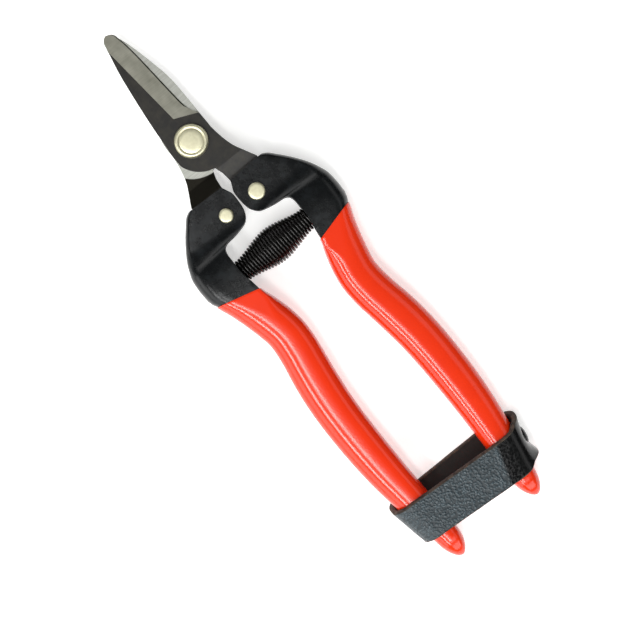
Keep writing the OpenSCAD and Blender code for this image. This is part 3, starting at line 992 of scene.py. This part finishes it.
@dataclass
class Hardware:
    """Pivot bolt and blade rivets, in mm; the washer, the nut and the studs stay from CAD.

    groove has how far past disc_r and how far below the top each of its points is.
    """

    head_r: float = 5.2
    head_h: float = 1.9
    shank_r: float = 2.5
    disc_r: float = 3.75
    groove: Rows = ((0.3, 0.02), (0.08, 0.12), (0, 0.22), (-0.12, 0.16), (-0.4, 0.1),
                    (-1.4, 0.07))
    chamfer: float = 0.35
    seat: float = 2.25
    rivet_at: tuple[float, float] = (5.85, -23.9)
    rivet_seat: float = 2.54
    rivet_h: float = 0.9
    rivet_heads: tuple[float, float] = (2.65, 2.25)
    rivet_shank_r: float = 1.7

    def pivot_bolt(self) -> bpy.types.Object:
        """Round head: a full rim, a fine groove and a flat disc, with the shank below.

        Returns:
            The piece, turned about the pivot's axis.
        """
        end = float(box_mm("pivot_bolt")[0][2])
        top = self.seat + self.head_h
        profile = [(0.0, end), (self.shank_r - self.chamfer, end),
                   (self.shank_r, end + self.chamfer), (self.shank_r, self.seat),
                   (self.head_r - 0.1, self.seat),
                   *round_over(self.head_r, self.seat + 0.3, self.disc_r + 0.65, top, 9),
                   *[(self.disc_r + past, top - deep) for past, deep in self.groove],
                   (0.0, top - 0.05)]
        piece = lathe("pivot_bolt_turned", profile, PIVOT, np.array([0, 0, 1.0]))
        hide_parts("pivot_bolt")
        dress(piece, "right_half", "plated_steel", NickelPlate())
        return piece

    def blade_rivet(self, side: Side) -> bpy.types.Object:
        """Flat made head on one face and a smaller peened head on the other.

        Args:
            side: The half that it holds together.

        Returns:
            The piece, with its made head on top on the right half, underneath on the left.
        """
        big, small = self.rivet_heads
        seat, top = self.rivet_seat, self.rivet_seat + self.rivet_h
        profile = [(0.0, -top + 0.03), (0.45 * small, -top), (0.62 * small, -top + 0.02),
                   *reversed([(r, -z) for r, z in round_over(small, seat + 0.25, 0.7 * small,
                                                             top - 0.02)]),
                   (small, -seat), (self.rivet_shank_r, -seat), (self.rivet_shank_r, seat),
                   (big, seat), *round_over(big, seat + 0.35, 0.78 * big, top - 0.02),
                   (0.6 * big, top), (0.0, top - 0.02)]
        at = side.place(np.array([*self.rivet_at, 0.0]))
        up = np.array([0, 0, 1.0 if side is Side.RIGHT else -1.0])
        piece = lathe(f"{side.value}_rivet_turned", profile, at, up, 64)
        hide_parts(f"{side.value}_blade_rivet")
        dress(piece, side.body, "plated_steel", NickelPlate())
        return piece

    def dress_cad(self) -> None:
        """Materials and softened edges for the CAD pieces that stay."""
        plated, coated = NickelPlate(), BlackCoat(name="coated_stud")
        for node, finish in (("pivot_washer", plated), ("pivot_nut", plated),
                             ("right_spring_stud", coated), ("left_spring_stud", coated)):
            piece = frame["nodes"][node]
            piece.data.materials.clear()
            piece.data.materials.append(finish.material())
            weld = piece.modifiers.new("weld", "WELD")
            weld.merge_threshold = SLIVER
            soften(piece, 0.12, 35)


# ---------------------------------------------------------------- handles


@dataclass
class Handle:
    """A handle: the pressed channel and the vinyl sleeve dipped over it, in mm.

    full is the grip's full width. At the sleeve's mouth the grip still has the elbow's
    shape: its stations lean by mouth_lean, and mouth_corners are its web and lip corners.
    The runs, the starts and the ends are shares of the grip's length.
    """

    side: Side
    sheet: float = 1.4
    sleeve: float = 0.7
    lip: float = 0.3
    lip_run: float = 0.1
    lip_roll: float = 0.12
    rim_round: float = 0.3
    fit: float = 0.02
    head_x: float = 14.3
    head_y: float = -16.2
    stop: float = 0.05
    elbow_w: float = 13.7
    elbow_half: float = 5.6
    head_half: float = 2.52
    head_lip: float = 0.3
    mouth_run: float = 0.12
    mouth_lean: float = 1.8
    lean_run: float = 0.14
    mouth_corners: tuple[float, float] = (5.5, 0.7)
    squareness: tuple[float, float] = (2.5, 2.8)
    sleeve_y: float = -45.5
    full: float = 13.2
    waist_x: float = 13.9
    belly_x: float = 17.2
    tail_x: float = 14.4
    tail_start: float = 0.925
    tail_round: float = 0.6
    frame_end: float = 0.92
    inside_end: float = 0.94
    half_depth: float = 5.9
    crown: float = 0.13
    elbow_x: float = field(init=False)
    grip_len: float = field(init=False)

    def __post_init__(self) -> None:
        """The elbow's reach and the grip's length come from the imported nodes."""
        low, high = box_mm(f"{self.side.value}_handle_frame")
        self.elbow_x = float(max(high[0], -low[0]))
        self.grip_len = float(self.sleeve_y - box_mm(f"{self.side.value}_grip_sleeve")[0][1])

    def head_rows(self) -> Array:
        """Stations of the head.

        Returns:
            Outer x, y, inner x, y, half depth, web corner and its power in each row, from
            the head down to the elbow.
        """
        across = self.elbow_x - self.head_x
        mouth = self.elbow_x - self.elbow_w
        head, elbow = self.head_half, self.elbow_half
        flare = elbow - head
        rows = [
            [0, self.head_y + 0.2, self.stop + 1.5, self.head_y - 0.2, head, 1.65, 2],
            [0.13, -17.0, self.stop + 0.7, -18.2, head, 1.65, 2],
            [0.27, -18.9, self.stop, -20, head, 1.65, 2],
            [0.46, -21.6, self.stop, -23, head, 1.65, 2],
            [0.62, -24.2, self.stop + 0.3, -25.5, head, 1.8, 2],
            [0.73, -26.2, self.stop + 1.2, -27.6, head + 0.02 * flare, 2.3, 2],
            [0.82, -28.1, self.stop + 3, -29.2, head + 0.12 * flare, 2.9, 2.1],
            [0.9, -30.3, mouth - 5.6, -30.2, head + 0.32 * flare, 3.6, 2.2],
            [0.95, -31.9, mouth - 1.6, -30.7, head + 0.5 * flare, 4.2, 2.3],
            [0.98, -33.6, mouth - 0.2, -32.4, head + 0.67 * flare, 4.7, 2.4],
            [1, -36.8, mouth, -36, head + 0.86 * flare, 5, 2.4],
            [0.99, -40, mouth - 0.1, -40.4, head + 0.97 * flare, 5, 2.4],
            [0.96, -42, mouth - 0.7, -44, elbow - 0.01, 5.1, 2.5]]
        table = np.array(rows)
        table[:, 0] = self.head_x + across * table[:, 0]
        return table

    def grip_rows(self) -> Array:
        """Stations of the grip.

        Returns:
            Share of the grip's length, its middle's x and its width in each row.
        """
        start = self.elbow_x - self.elbow_w / 2 - 1.3
        waist, belly, tail, full = self.waist_x, self.belly_x, self.tail_x, self.full
        return np.array([
            [0, start, full + 0.9], [0.04, mix(start, waist, 0.32), full + 0.5],
            [0.08, mix(start, waist, 0.6), full], [0.125, mix(start, waist, 0.85), full - 0.4],
            [0.17, waist, full - 0.6], [0.23, mix(waist, belly, 0.12), full - 0.3],
            [0.3, mix(waist, belly, 0.47), full], [0.36, mix(waist, belly, 0.73), full],
            [0.42, mix(waist, belly, 0.91), full - 0.2], [0.49, belly, full - 0.45],
            [0.58, belly, full - 0.8], [0.68, mix(tail, belly, 0.87), full - 1.5],
            [0.78, mix(tail, belly, 0.59), full - 2.7],
            [0.86, mix(tail, belly, 0.29), full - 4],
            [self.tail_start, mix(tail, belly, 0.05), full - 5.2], [1, tail, full - 5.6]])

    def wall(self, s: Array) -> Array:
        """Thickness of the vinyl at share s: it thins towards its open edge."""
        return mix(self.lip, self.sleeve, smooth(s / self.lip_run))

    def grip_stations(self, s: Array, inset: Array) -> Array:
        """Stations along the grip.

        Args:
            s: Shares of the grip's length.
            inset: Distance inside the sleeve's outside.

        Returns:
            One row per share: outer x, y, inner x, y, half depth, web corner, lip corner
            and the corners' power. The tail closes as (1 - v^2)^tail_round in width and as
            a quarter ellipse in depth, and the crown is nearer the lips than the web.
        """
        rows = self.grip_rows()
        k = np.interp(s, rows[:, 0], np.arange(len(rows)))
        _, middle, width = curve(rows, k).T
        v = np.clip((s - self.tail_start) / (1 - self.tail_start), 0, 1)
        wide = width / 2 * np.clip(1 - v * v, 0, 1) ** self.tail_round
        full = smooth(s / self.mouth_run)
        half = np.maximum(wide - inset, 0.0)
        y = self.sleeve_y - s * self.grip_len
        lean = self.mouth_lean * (1 - smooth(s / self.lean_run))
        depth = np.maximum(self.half_depth * np.sqrt(np.clip(1 - v * v, 0, 1)) - inset, 0.0)
        web, lip = (np.maximum(mix(corner_at_mouth, wide * share, full) - inset, 0.0)
                    for corner_at_mouth, share in zip(self.mouth_corners,
                                                      (1 + self.crown, 1 - self.crown)))
        return np.stack([middle + half, y + lean, middle - half, y - lean, depth, web, lip,
                         mix(*self.squareness, full)], -1)

    def head_stations(self, count: int) -> Array:
        """The same rows from the head's top edge down to the sleeve.

        Args:
            count: How many stations.

        Returns:
            Stations with the columns of grip_stations().
        """
        table = self.head_rows()
        line = curve(table, np.linspace(0, len(table) - 1, count))
        return np.insert(line, 6, self.head_lip, axis=1)

    def outline(self, rows: Array, inset: float, lips: Array) -> tuple[Array, Array]:
        """Upper half of each station's outline.

        Args:
            rows: Stations.
            inset: Distance inside the surface.
            lips: Angles of the points on the lip side, from the top down.

        Returns:
            Distance from the outer point towards the inner one, and height: a
            superellipse corner at the web, a flat and a superellipse corner at the lips.
        """
        across = np.hypot(rows[:, 2] - rows[:, 0], rows[:, 3] - rows[:, 1])[:, None]
        depth, web, lip, power = (rows[:, i, None] for i in (4, 5, 6, 7))
        depth, web = depth - inset, web - inset
        turn = np.linspace(0, np.pi / 2, 15)[None, :]
        c, s = corner(turn, power)
        web_u, web_z = inset + web * (1 - c), depth * s
        c, s = corner(lips[None, :], power)
        lip_u, lip_z = across - lip + lip * c, depth * s
        flat = np.linspace(0, 1, 8)[None, 1:-1]
        flat_u = mix(web_u[:, -1:], lip_u[:, :1], flat)
        flat_z = np.broadcast_to(depth, flat_u.shape) * mix(1.0, s[:, :1], flat)
        return (np.concatenate([web_u, flat_u, lip_u], 1),
                np.concatenate([web_z, flat_z, lip_z], 1))

    def lay(self, rows: Array, u: Array, z: Array) -> Array:
        """Puts outline points in place: from the outer point, u along the way inwards.

        Args:
            rows: Stations.
            u: Distance of each point from its station's outer point.
            z: Height of each point.

        Returns:
            Points in the frame, in metres.
        """
        outer, inner = rows[:, None, 0:2], rows[:, None, 2:4]
        along = inner - outer
        along = along / np.maximum(np.linalg.norm(along, axis=-1, keepdims=True), 1e-9)
        at = outer + along * u[..., None]
        return self.side.place(np.concatenate([at, z[..., None]], -1))

    def channel(self) -> bpy.types.Object:
        """The pressed channel: out round the web and back along its inside.

        Returns:
            The piece, open towards the other handle.
        """
        s = np.linspace(0, self.frame_end, 60)
        grip = self.grip_stations(s, self.wall(s) + self.fit)
        rows = np.concatenate([self.head_stations(110), grip])
        lips = np.radians([88, 80, 70])
        u, z = self.outline(rows, 0.0, lips)
        inner_u, inner_z = self.outline(rows, self.sheet, lips)
        ring_u = np.concatenate([u[:, :0:-1], u, inner_u[:, ::-1], inner_u[:, 1:]], 1)
        ring_z = np.concatenate([-z[:, :0:-1], z, inner_z[:, ::-1], -inner_z[:, 1:]], 1)
        piece = solid(f"{self.side.value}_channel_pressed", self.lay(rows, ring_u, ring_z),
                      crease=35)
        soften(piece, self.rim_round, 50, 3)
        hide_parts(f"{self.side.value}_handle_frame")
        dress(piece, self.side.body, "black_coat", BlackCoat())
        return piece

    def grip(self) -> bpy.types.Object:
        """The sleeve: from the tail up the outside, over the open edge and back inside.

        Returns:
            The piece, one closed skin round the channel's grip.
        """
        tail = self.tail_start + (1 - self.tail_start) * np.sin(np.linspace(0, np.pi / 2, 24))
        outside = np.concatenate([[1.0], tail[::-1][1:], np.linspace(self.tail_start, 0, 150)[1:]])
        inside = np.concatenate([np.linspace(0, self.tail_start, 60), [self.inside_end]])
        lips = np.radians(np.linspace(88, 0, 15))
        turn = np.linspace(0, np.pi, 7)[1:-1]
        roll = self.lip / 2 * (1 - np.cos(turn))
        shares = np.concatenate([outside, np.zeros(len(turn)), inside])
        inset = np.concatenate([np.zeros(len(outside)), roll, self.wall(inside)])
        rows = self.grip_stations(shares, inset)
        edge = len(outside) + np.arange(len(turn))
        rows[edge[:, None], [1, 3]] += self.lip_roll * np.sin(turn)[:, None]
        u, z = self.outline(rows, 0.0, lips)
        ring_u = np.concatenate([u, u[:, -2:0:-1]], 1)
        ring_z = np.concatenate([z, -z[:, -2:0:-1]], 1)
        piece = solid(f"{self.side.value}_sleeve_dipped", self.lay(rows, ring_u, ring_z),
                      crease=60)
        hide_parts(f"{self.side.value}_grip_sleeve")
        dress(piece, self.side.body, "red_vinyl", RedVinyl())
        return piece

    def edge_x(self, y: Array) -> Array:
        """Outer edge of the sleeve at height y."""
        s = (self.sleeve_y - np.atleast_1d(y)) / self.grip_len
        return self.grip_stations(s.ravel(), np.zeros(s.size))[:, 0].reshape(np.shape(s))


# ---------------------------------------------------------------- spring


@dataclass
class BarrelSpring:
    """Compression spring wound fatter in the middle, in mm."""

    wire: float = 0.9
    end_d: float = 7.2
    middle_d: float = 11.8
    pitch: float = 1.05
    bulge: float = 13.0
    free_share: float = 0.8
    per_turn: int = 40
    around: int = 10

    def build(self) -> bpy.types.Object:
        """Wire swept along x, with radius(x) cos and sin of the turn.

        Returns:
            The piece, with its place baked into its points and on no body.
        """
        low, high = box_mm("spring")
        half = (high[0] - low[0]) / 2 - self.wire / 2
        middle = (low + high) / 2
        turns = math.floor(2 * (half + self.wire / 2) / self.pitch)
        angle = np.linspace(0, 2 * np.pi * turns, turns * self.per_turn + 1)
        x = mix(-half, half, angle / angle[-1])
        radius = mix(self.end_d, self.middle_d, smooth(1 - np.abs(x) / self.bulge)) / 2
        radius = radius - self.wire / 2
        out = np.stack([np.zeros_like(angle), np.cos(angle), np.sin(angle)], -1)
        centre = np.stack([x, np.zeros_like(x), np.zeros_like(x)], -1)
        centre = centre + radius[:, None] * out + np.array([0, middle[1], 0])
        ring = np.linspace(0, 2 * np.pi, self.around, endpoint=False)
        across = np.array([1.0, 0, 0])
        offset = (np.cos(ring)[None, :, None] * out[:, None]
                  + np.sin(ring)[None, :, None] * across)
        points = centre[:, None] + self.wire / 2 * offset
        piece = solid("barrel_spring_wound", Side.RIGHT.place(points), crease=60)
        reach = self.free_share * half
        start = Side.RIGHT.place(np.array([reach, middle[1], 0.0]))
        end = Side.RIGHT.place(np.array([-reach, middle[1], 0.0]))
        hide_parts("spring")
        dress(piece, "", "spring_steel", OiledWire())
        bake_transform(piece)
        return piece


# ---------------------------------------------------------------- strap


@dataclass
class LockStrap:
    """Leather loop round both tails, in mm, with the rivet that pins it to one handle."""

    handle: Handle
    width: float = 12.8
    thickness: float = 1.8
    room: float = 0.2
    skew: float = 4.3
    half_depth: float = 5.9
    end_r: float = 4.8
    squareness: float = 3.0
    round_r: float = 0.35
    sag: float = 1.0
    sag_from: float = 0.6
    sag_rise: float = 1.4
    wave: float = 0.06
    wave_rate: tuple[float, float] = (9.0, 2.0)
    pinch: float = 0.3
    pinch_share: float = 0.4
    flare_up: float = 0.9
    flare_down: float = 1.9
    flare_turn: float = 0.5
    blend_from: tuple[float, float] = (2.0, 13.0)
    rivet_r: float = 2.8
    rivet_foot: tuple[float, float] = (1.8, 0.7)
    rivet_shank: tuple[float, float] = (1.2, 3.0)
    rivet_dome: float = 1.1
    rivet_gap: float = 0.03
    middle_y: float = field(init=False)

    def __post_init__(self) -> None:
        """The strap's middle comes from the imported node."""
        low, high = box_mm("lock_strap")
        self.middle_y = float(low[1] + high[1]) / 2

    def stations(self) -> tuple[Array, Array]:
        """Where round the loop each cross-section is.

        Returns:
            Its turn, which is 0 at the riveted end and a quarter turn at the front, and its
            slide, from 1 at the riveted end to -1, along the two straight parts.
        """
        quarter = np.pi / 2 * np.linspace(0, 1, 60) ** 0.8
        slide = np.linspace(1, -1, 90)[1:-1]
        turn = np.concatenate([quarter, np.full(len(slide), np.pi / 2), np.pi - quarter[::-1]])
        along = np.concatenate([np.ones(len(quarter)), slide, -np.ones(len(quarter))])
        return np.concatenate([turn, turn[1:-1] + np.pi]), np.concatenate([along, -along[1:-1]])

    def loop(self, turn: Array, slide: Array, edge: Array, out: Array) -> Array:
        """Points of the loop.

        Args:
            turn: As in stations().
            slide: As in stations().
            edge: Place across the leather, 1 at the edge nearer to the blades, -1 at the other.
            out: Height above the flesh side.

        Returns:
            A long superellipse in x and z. It leans along y by the skew, sags in front
            towards the riveted end, and is pinched at the rivet with its edges flared.
        """
        c, s = np.cos(turn), np.sin(turn)
        c = np.where(np.abs(c) < 1e-9, 0, c)
        front = np.where(c > 0, smooth((s - self.sag_from) / (1 - self.sag_from)),
                         smooth(s * self.sag_rise))
        along, across = self.wave_rate
        waves = self.wave * (1 - np.cos(along * slide + across * edge)) * (1 - slide ** 2)
        depth = self.half_depth + self.room + out + waves
        z = np.sign(s) * depth * np.abs(s) ** (2 / self.squareness)
        lean = self.skew / (2 * (self.half_depth + self.room) + self.thickness)
        y = self.middle_y + edge * self.width / 2 - lean * z - self.sag * front * slide
        at_rivet = np.exp(-(s / self.flare_turn) ** 2) * (c > 0)
        flare = np.where(edge > 0, self.flare_up, self.flare_down) * edge ** 2
        bow = at_rivet * (flare - self.pinch * np.exp(-(edge / self.pinch_share) ** 2))
        radius = self.end_r + self.room + out
        reach = self.handle.edge_x(y) + self.room + out + bow
        bend = np.sign(c) * radius * np.abs(c) ** (2 / self.squareness)
        x = slide * (reach - radius) + bend
        return np.stack([x, y, z], -1)

    def section(self) -> tuple[Array, Array, Array]:
        """Outline of the leather, cut across.

        Returns:
            Place across the leather and height above its flesh side for each point, with
            quarter rounds of round_r at the corners, and the material of each face: 0 for
            the grain, 1 for the cut edges and 2 for the flesh side.
        """
        across, k, t = 40, 2 * self.round_r / self.width, self.thickness
        cap = np.linspace(0, np.pi / 2, 5)[1:]
        bend, rest = self.round_r * (1 - np.cos(cap)), self.round_r * (1 - np.sin(cap))
        face = np.linspace(1, -1, across) * (1 - k)
        down = -1 + k * (1 - np.sin(cap))
        edge = np.concatenate([face, down, -1 + k * (1 - np.cos(cap)), face[::-1],
                               -down, 1 - k * (1 - np.cos(cap))])
        out = np.concatenate([np.full(across, t), t - bend, rest, np.zeros(across), bend,
                              t - rest])
        rim = np.ones(2 * len(cap) + 1)
        slots = np.concatenate([np.zeros(across - 1), rim, np.full(across - 1, 2), rim])
        return edge, out, slots.astype(int)

    def build(self) -> bpy.types.Object:
        """The loop of leather, with its place baked into its points and on no body.

        Returns:
            The piece, with pebbled, cut and flesh surfaces as materials 0, 1 and 2.
        """
        turn, slide = self.stations()
        edge, out, slots = self.section()
        points = self.loop(turn[:, None], slide[:, None], edge[None, :], out[None, :])
        piece = solid("lock_strap_leather", Side.RIGHT.place(points), closed=True, slots=slots,
                      crease=80)
        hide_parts("lock_strap")
        dress(piece, "", "strap_leather", Leather(middle_y=self.middle_y), RawLeather(),
              RawLeather(name="leather_flesh_side", light="#1f1a17"))
        end_x = float(self.handle.edge_x(np.array([self.middle_y]))[0])
        start, end = (Side.RIGHT.place(np.array([end_x - inwards, self.middle_y, 0]))
                      for inwards in self.blend_from)
        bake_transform(piece)
        path = self.loop(turn, slide, np.zeros(1), np.full(1, self.thickness / 2))
        return piece

    def rivet(self) -> bpy.types.Object:
        """Black domed rivet, square to the handle's outer side.

        Returns:
            The piece: a foot inside the channel, a shank and a dome on the leather.
        """
        step = np.array([-2.0, 0.0, 2.0])
        x = self.handle.edge_x(self.middle_y + step)
        normal = np.array([step[2] - step[0], x[0] - x[2], 0.0])
        normal /= np.linalg.norm(normal)
        at = Side.RIGHT.place(np.array([x[1] + self.room, self.middle_y, 0.0]))
        seat = self.thickness - self.pinch + self.rivet_gap
        crest = seat + self.rivet_dome
        (foot_r, foot_t), (shank_r, foot) = self.rivet_foot, self.rivet_shank
        profile = [(0.0, -foot), (foot_r, -foot), (foot_r, foot_t - foot),
                   (shank_r, foot_t - foot), (shank_r, seat), (self.rivet_r, seat),
                   *round_over(self.rivet_r, seat + 0.2, 0.3, crest, 9), (0.0, crest)]
        piece = lathe("strap_rivet_domed", profile, at, normal, 48)
        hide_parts("strap_rivet")
        dress(piece, "right_half", "black_coat", BlackCoat(name="black_lacquered_rivet"))
        return piece


# ---------------------------------------------------------------- studio


@dataclass(frozen=True)
class Lamp:
    """An area light: place and size (across, along) in metres, and how bright its face is."""

    name: str
    at: tuple[float, float, float]
    size: tuple[float, float]
    radiance: float
    along: tuple[float, float, float] = (0, 1, 0)

    def watts(self) -> float:
        """Power of a flat lamp: pi times its radiance times its area."""
        return math.pi * self.radiance * self.size[0] * self.size[1]


@dataclass
class Studio:
    """Paper floor, soft lights and the camera, which looks straight down.

    The view's width, its centre and lit_y are in mm, and the floor's sizes in metres.
    """

    lens: float = 150.0
    sensor: float = 36.0
    view_width: float = 192.0
    centre: tuple[float, float] = (-3.7, -65.8)
    up: tuple[float, float] = (0.6288, 0.7776)
    sky: float = 0.1
    floor_half: float = 1.5
    floor_z: float = -0.0001
    lit_y: float = -50.0
    lamps: tuple[Lamp, ...] = (
        Lamp("outer_tube", (-0.56, -0.25, 0.84), (0.14, 0.9), 17.0),
        Lamp("near_tube", (-0.24, -0.25, 1.15), (0.13, 0.8), 15.0),
        Lamp("overhead", (0.15, 0.05, 1.6), (0.9, 1.1), 0.06),
        Lamp("left_side", (-1.1, 0.0, 0.45), (0.7, 1.6), 2.4),
        Lamp("right_side", (0.8, -0.1, 1.05), (0.5, 1.4), 0.75),
        Lamp("far_end", (0.0, 1.4, 0.80), (1.4, 0.8), 1.6, (0, 0, 1)),
        Lamp("near_end", (0.0, -1.4, 0.80), (1.4, 0.8), 3.0, (0, 0, 1)),
        Lamp("near_top", (0.1, -0.80, 1.40), (0.8, 0.3), 2.4, (0, 0, 1)))

    def floor(self) -> None:
        """A sheet of paper far wider than the view."""
        half, z = self.floor_half, self.floor_z
        mesh = bpy.data.meshes.new("paper_floor")
        mesh.from_pydata([(-half, -half, z), (half, -half, z), (half, half, z), (-half, half, z)],
                         [], [(0, 1, 2, 3)])
        floor = bpy.data.objects.new("paper_floor", mesh)
        bpy.context.scene.collection.objects.link(floor)
        mesh.materials.append(Paper().material())

    def aim(self, thing: bpy.types.Object, at: Array, to: Array, up: Array) -> None:
        """Puts a camera or light at one point, looking at another.

        Args:
            thing: Camera or light.
            at: Where it goes.
            to: What it faces.
            up: Direction that its Y axis leans to.
        """
        back = (at - to) / np.linalg.norm(at - to)
        right = np.cross(up, back)
        right /= np.linalg.norm(right)
        matrix = np.eye(4)
        matrix[:3] = np.stack([right, np.cross(back, right), back, at], -1)
        thing.matrix_world = Matrix(matrix.tolist())

    def camera(self) -> None:
        """Straight above the middle of the view, far enough for the width of the view."""
        data = bpy.data.cameras.new("camera")
        data.lens = self.lens
        data.sensor_width = self.sensor
        data.clip_start = 0.01
        camera = bpy.data.objects.new("camera", data)
        bpy.context.scene.collection.objects.link(camera)
        target = Side.RIGHT.place(np.array([*self.centre, 0.0]))
        height = self.view_width * MM / self.sensor * self.lens
        self.aim(camera, target + np.array([0, 0, height]), target, np.array([*self.up, 0.0]))
        bpy.context.scene.camera = camera

    def lights(self) -> None:
        """Two tubes and soft boxes all round, under a dim pale sky."""
        target = Side.RIGHT.place(np.array([0, self.lit_y, 0]))
        for lamp in self.lamps:
            data = bpy.data.lights.new(lamp.name, "AREA")
            data.shape = "RECTANGLE"
            data.size, data.size_y = lamp.size
            data.energy = lamp.watts()
            light = bpy.data.objects.new(lamp.name, data)
            bpy.context.scene.collection.objects.link(light)
            self.aim(light, np.array(lamp.at), target, np.array(lamp.along, dtype=float))
        world = bpy.data.worlds.new("pale_sky")
        world.use_nodes = True
        background = world.node_tree.nodes["Background"]
        background.inputs["Color"].default_value = (1, 1, 1, 1)
        background.inputs["Strength"].default_value = self.sky
        bpy.context.scene.world = world
        bpy.context.scene.view_settings.view_transform = "Standard"


def main() -> None:
    """Builds the studio and each sub-assembly in order."""
    logging.basicConfig(level=logging.INFO, format="%(name)s: %(message)s")
    studio = Studio()
    studio.camera()
    studio.lights()
    studio.floor()
    Blade(Side.RIGHT, "upper_blade", Back.NARROW).build()
    Blade(Side.LEFT, "lower_blade", Back.FULL).build()
    hardware = Hardware()
    hardware.pivot_bolt()
    for side in Side:
        hardware.blade_rivet(side)
    hardware.dress_cad()
    for side in Side:
        handle = Handle(side)
        handle.channel()
        handle.grip()
    BarrelSpring().build()
    strap = LockStrap(Handle(Side.RIGHT))
    strap.build()
    strap.rivet()


if __name__ == "__main__":
    main()
